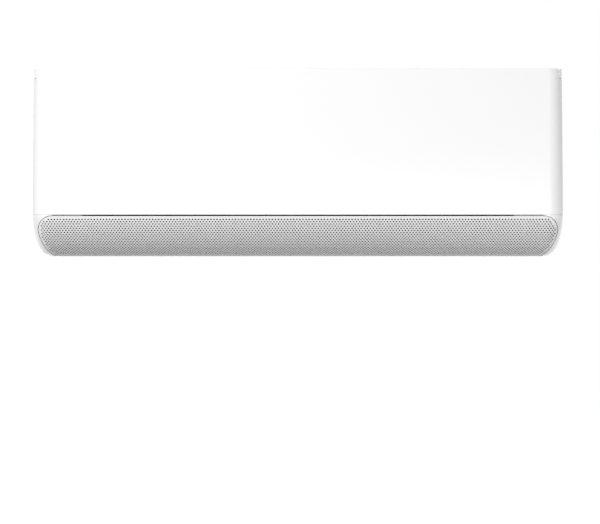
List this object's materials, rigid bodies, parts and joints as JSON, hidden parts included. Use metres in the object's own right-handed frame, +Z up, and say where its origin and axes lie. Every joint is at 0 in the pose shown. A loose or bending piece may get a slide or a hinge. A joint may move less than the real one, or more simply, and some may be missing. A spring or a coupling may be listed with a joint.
{
  "type": "mini split indoor unit",
  "caption": "Wall-hung air conditioner indoor unit with a plain white hinged front panel, a curved perforated air flap, side vanes, a cross-flow fan and a folded coil.",
  "frame": {"origin": "centre of the mounting plate's back face, on the wall", "axes": "+X to the right as seen from the front, +Y into the wall (the front faces -Y), +Z up"},
  "size_m": [0.835, 0.2073, 0.295],
  "materials": {
    "casing_white": "satin white moulded plastic",
    "panel_white": "glossy white moulded plastic",
    "flap_white": "satin white plastic, finely perforated",
    "inner_white": "plain white-grey moulded plastic",
    "dark_plastic": "dark moulded plastic",
    "grey_plastic": "grey moulded plastic",
    "rubber": "black rubber",
    "steel": "bright steel",
    "zinc": "galvanised sheet steel",
    "coil_fins": "close aluminium fins",
    "copper": "drawn copper tube",
    "brass": "turned brass",
    "foam": "moulded foam and plastic",
    "circuit_board": "green lacquered board",
    "filter": "fine grey plastic net"
  },
  "bodies": {
    "unit": {"mounting_plate": "zinc", "base_chassis": "grey_plastic", "outer_casing": "casing_white", "outlet_frame": "inner_white", "top_grille": "casing_white", "flap_hinge_pin_1": "steel", "flap_hinge_pin_2": "steel", "flap_hinge_pin_3": "steel", "flap_motor": "zinc", "flap_motor_bracket": "inner_white", "fan_bearing": "steel", "bearing_rubber": "rubber", "fan_motor": "zinc", "motor_rubber_inner": "rubber", "motor_rubber_outer": "rubber", "motor_clamp": "grey_plastic", "coil_front_lower": "coil_fins", "coil_front_upper": "coil_fins", "coil_rear": "coil_fins", "coil_plate_left": "zinc", "coil_plate_right": "zinc", "gas_pipe": "copper", "liquid_pipe": "copper", "gas_flare_nut": "brass", "liquid_flare_nut": "brass", "drain_pan": "foam", "drain_plug": "rubber", "swing_motor_left": "zinc", "swing_motor_right": "zinc", "electric_box": "grey_plastic", "electric_box_cover": "zinc", "main_board": "circuit_board", "terminal_block": "dark_plastic", "display_board": "circuit_board", "casing_screw_1": "steel", "casing_screw_2": "steel", "casing_screw_3": "steel"},
    "front_panel": {"front_panel": "panel_white"},
    "air_flap": {"air_flap": "flap_white"},
    "flap_pinion": {"flap_pinion": "grey_plastic"},
    "fan": {"fan_wheel": "dark_plastic", "fan_motor_shaft": "steel"},
    "filter_left": {"filter_left": "filter"},
    "filter_right": {"filter_right": "filter"},
    "button": {"emergency_button": "inner_white"},
    "link_left": {"vane_link_left": "dark_plastic"},
    "link_right": {"vane_link_right": "dark_plastic"},
    "vane_left_1": {"vane_left_1": "dark_plastic"},
    "vane_left_2": {"vane_left_2": "dark_plastic"},
    "vane_left_3": {"vane_left_3": "dark_plastic"},
    "vane_left_4": {"vane_left_4": "dark_plastic"},
    "vane_left_5": {"vane_left_5": "dark_plastic"},
    "vane_right_1": {"vane_right_1": "dark_plastic"},
    "vane_right_2": {"vane_right_2": "dark_plastic"},
    "vane_right_3": {"vane_right_3": "dark_plastic"},
    "vane_right_4": {"vane_right_4": "dark_plastic"},
    "vane_right_5": {"vane_right_5": "dark_plastic"}
  },
  "joints": [
    {"name": "panel_hinge", "type": "hinge", "parent": "unit", "child": "front_panel", "pos_m": [0, -0.178, 0.142], "axis": [-1, 0, 0], "range_deg": [0, 60]},
    {"name": "flap_hinge", "type": "hinge", "parent": "unit", "child": "air_flap", "pos_m": [0, -0.121, -0.1405], "axis": [1, 0, 0], "range_deg": [0, 70]},
    {"name": "flap_pinion_spin", "type": "hinge", "parent": "unit", "child": "flap_pinion", "pos_m": [0.3545, -0.1489, -0.09218], "axis": [1, 0, 0], "range_deg": [-295, 0]},
    {"name": "fan_spin", "type": "hinge", "parent": "unit", "child": "fan", "pos_m": [0, -0.092, -0.028], "axis": [1, 0, 0], "continuous": true},
    {"name": "filter_left_slide", "type": "slide", "parent": "unit", "child": "filter_left", "axis": [0, 0, 1], "range_m": [0, 0.06]},
    {"name": "filter_right_slide", "type": "slide", "parent": "unit", "child": "filter_right", "axis": [0, 0, 1], "range_m": [0, 0.06]},
    {"name": "button_press", "type": "slide", "parent": "unit", "child": "button", "axis": [0, 1, 0], "range_m": [0, 0.0015], "stiffness_N_per_m": 400, "springref_m": -0.001},
    {"name": "vane_left_3_swing", "type": "hinge", "parent": "unit", "child": "vane_left_3", "pos_m": [-0.17, -0.165, -0.0655], "axis": [0, -0.517, 0.856], "range_deg": [-35, 35]},
    {"name": "vane_left_1_swing", "type": "hinge", "parent": "unit", "child": "vane_left_1", "pos_m": [-0.05, -0.165, -0.0655], "axis": [0, -0.517, 0.856], "range_deg": [-35, 35]},
    {"name": "vane_left_2_swing", "type": "hinge", "parent": "unit", "child": "vane_left_2", "pos_m": [-0.11, -0.165, -0.0655], "axis": [0, -0.517, 0.856], "range_deg": [-35, 35]},
    {"name": "vane_left_4_swing", "type": "hinge", "parent": "unit", "child": "vane_left_4", "pos_m": [-0.23, -0.165, -0.0655], "axis": [0, -0.517, 0.856], "range_deg": [-35, 35]},
    {"name": "vane_left_5_swing", "type": "hinge", "parent": "unit", "child": "vane_left_5", "pos_m": [-0.29, -0.165, -0.0655], "axis": [0, -0.517, 0.856], "range_deg": [-35, 35]},
    {"name": "link_left_pivot", "type": "hinge", "parent": "vane_left_3", "child": "link_left", "pos_m": [-0.17, -0.13198, -0.09696], "axis": [0, -0.517, 0.856], "range_deg": [-35, 35]},
    {"name": "vane_right_3_swing", "type": "hinge", "parent": "unit", "child": "vane_right_3", "pos_m": [0.17, -0.165, -0.0655], "axis": [0, -0.517, 0.856], "range_deg": [-35, 35]},
    {"name": "vane_right_1_swing", "type": "hinge", "parent": "unit", "child": "vane_right_1", "pos_m": [0.05, -0.165, -0.0655], "axis": [0, -0.517, 0.856], "range_deg": [-35, 35]},
    {"name": "vane_right_2_swing", "type": "hinge", "parent": "unit", "child": "vane_right_2", "pos_m": [0.11, -0.165, -0.0655], "axis": [0, -0.517, 0.856], "range_deg": [-35, 35]},
    {"name": "vane_right_4_swing", "type": "hinge", "parent": "unit", "child": "vane_right_4", "pos_m": [0.23, -0.165, -0.0655], "axis": [0, -0.517, 0.856], "range_deg": [-35, 35]},
    {"name": "vane_right_5_swing", "type": "hinge", "parent": "unit", "child": "vane_right_5", "pos_m": [0.29, -0.165, -0.0655], "axis": [0, -0.517, 0.856], "range_deg": [-35, 35]},
    {"name": "link_right_pivot", "type": "hinge", "parent": "vane_right_3", "child": "link_right", "pos_m": [0.17, -0.13198, -0.09696], "axis": [0, -0.517, 0.856], "range_deg": [-35, 35]}
  ],
  "couplings": [
    {"joint": "flap_pinion_spin", "follows": "flap_hinge", "ratio": -4.1667},
    {"joint": "vane_left_1_swing", "follows": "vane_left_3_swing", "ratio": 1},
    {"joint": "vane_left_2_swing", "follows": "vane_left_3_swing", "ratio": 1},
    {"joint": "vane_left_4_swing", "follows": "vane_left_3_swing", "ratio": 1},
    {"joint": "vane_left_5_swing", "follows": "vane_left_3_swing", "ratio": 1},
    {"joint": "link_left_pivot", "follows": "vane_left_3_swing", "ratio": -1},
    {"joint": "vane_right_1_swing", "follows": "vane_right_3_swing", "ratio": 1},
    {"joint": "vane_right_2_swing", "follows": "vane_right_3_swing", "ratio": 1},
    {"joint": "vane_right_4_swing", "follows": "vane_right_3_swing", "ratio": 1},
    {"joint": "vane_right_5_swing", "follows": "vane_right_3_swing", "ratio": 1},
    {"joint": "link_right_pivot", "follows": "vane_right_3_swing", "ratio": -1}
  ]
}
